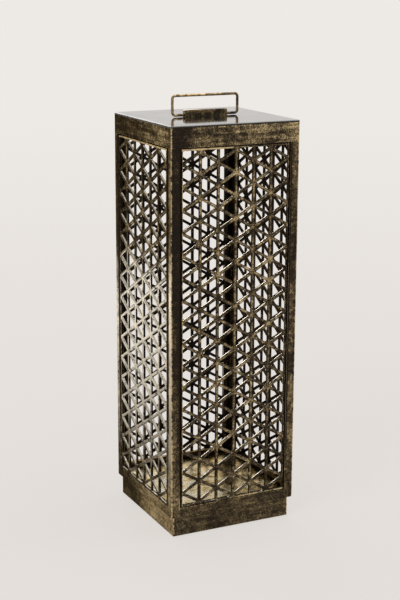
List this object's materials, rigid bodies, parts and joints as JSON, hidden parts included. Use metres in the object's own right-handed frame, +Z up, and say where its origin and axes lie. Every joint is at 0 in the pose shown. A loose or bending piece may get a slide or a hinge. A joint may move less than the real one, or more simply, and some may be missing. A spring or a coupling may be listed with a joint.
{
  "type": "andon floor lantern",
  "caption": "Tall square metal lantern: pierced triangular lattice sides in a post frame, closed cap with a cordless light inside, folding wire bail on the lid, recessed plinth.",
  "frame": {"origin": "on the surface the lantern stands on, under the centre of its square body", "axes": "+Z up, +X to the right along the lid's hinge block and handle, -Y out of the front panel; the button and the charging socket are in the +Y wall of the cap"},
  "size_m": [0.2, 0.2, 0.6324],
  "materials": {
    "patina_brass": "dark burnished patina, satin, golden where rubbed",
    "lattice_brass": "dark burnished patina, satin, golden where rubbed",
    "lid_brass": "dark patina polished to a mirror and lacquered",
    "floor_brass": "polished, unlacquered",
    "handle_brass": "dark patina, rubbed bright by the hand",
    "button_brass": "turned and polished",
    "plain_brass": "plain sheet, dull",
    "base_steel": "blackened",
    "screw_steel": "zinc plated",
    "aluminium": "plain, mill finish",
    "opal_plastic": "opal, satin",
    "foot_rubber": "matt",
    "black_plastic": "moulded, matt",
    "cell_sleeve": "shrink sleeve",
    "circuit_board": "solder mask",
    "chip_resin": "phosphor resin",
    "lead_insulation": "extruded"
  },
  "bodies": {
    "lantern": {"base_brackets": "plain_brass", "base_plate": "base_steel", "base_screws": "screw_steel", "battery_cells": "cell_sleeve", "battery_cradle_left": "black_plastic", "battery_cradle_right": "black_plastic", "battery_leads": "lead_insulation", "bottom_gussets": "plain_brass", "bottom_rail_back": "patina_brass", "bottom_rail_front": "patina_brass", "bottom_rail_left": "patina_brass", "bottom_rail_right": "patina_brass", "cap_lugs": "plain_brass", "cap_screws": "screw_steel", "cap_side_back": "patina_brass", "cap_side_front": "patina_brass", "cap_side_left": "patina_brass", "cap_side_right": "patina_brass", "charge_socket": "screw_steel", "clip_screws": "screw_steel", "corner_post_back_left": "patina_brass", "corner_post_back_right": "patina_brass", "corner_post_front_left": "patina_brass", "corner_post_front_right": "patina_brass", "cradle_screws": "screw_steel", "diffuser": "opal_plastic", "diffuser_clips": "plain_brass", "driver_board": "circuit_board", "driver_parts": "black_plastic", "driver_screws": "screw_steel", "driver_spacers": "aluminium", "feet": "foot_rubber", "floor_pan": "floor_brass", "friction_screws": "screw_steel", "heat_spreader": "aluminium", "hinge_backing_plate": "plain_brass", "hinge_block": "handle_brass", "hinge_screws": "screw_steel", "lattice_panel_back": "lattice_brass", "lattice_panel_front": "lattice_brass", "lattice_panel_left": "lattice_brass", "lattice_panel_right": "lattice_brass", "led_board": "circuit_board", "led_chips": "chip_resin", "led_leads": "lead_insulation", "lid_plate": "lid_brass", "plinth_screws": "screw_steel", "plinth_side_back": "patina_brass", "plinth_side_front": "patina_brass", "plinth_side_left": "patina_brass", "plinth_side_right": "patina_brass", "spreader_screws": "screw_steel", "standoffs": "aluminium", "switch_body": "black_plastic", "top_rail_back": "patina_brass", "top_rail_front": "patina_brass", "top_rail_left": "patina_brass", "top_rail_right": "patina_brass"},
    "bail": {"handle_bail": "handle_brass"},
    "button": {"switch_button": "button_brass"}
  },
  "joints": [
    {"name": "bail_swing", "type": "hinge", "parent": "lantern", "child": "bail", "pos_m": [0, 0, 0.6026], "axis": [1, 0, 0], "range_deg": [-90, 90]},
    {"name": "button_press", "type": "slide", "parent": "lantern", "child": "button", "axis": [0, -1, 0], "range_m": [0, 0.001], "stiffness_N_per_m": 1000, "springref_m": -0.0005}
  ]
}
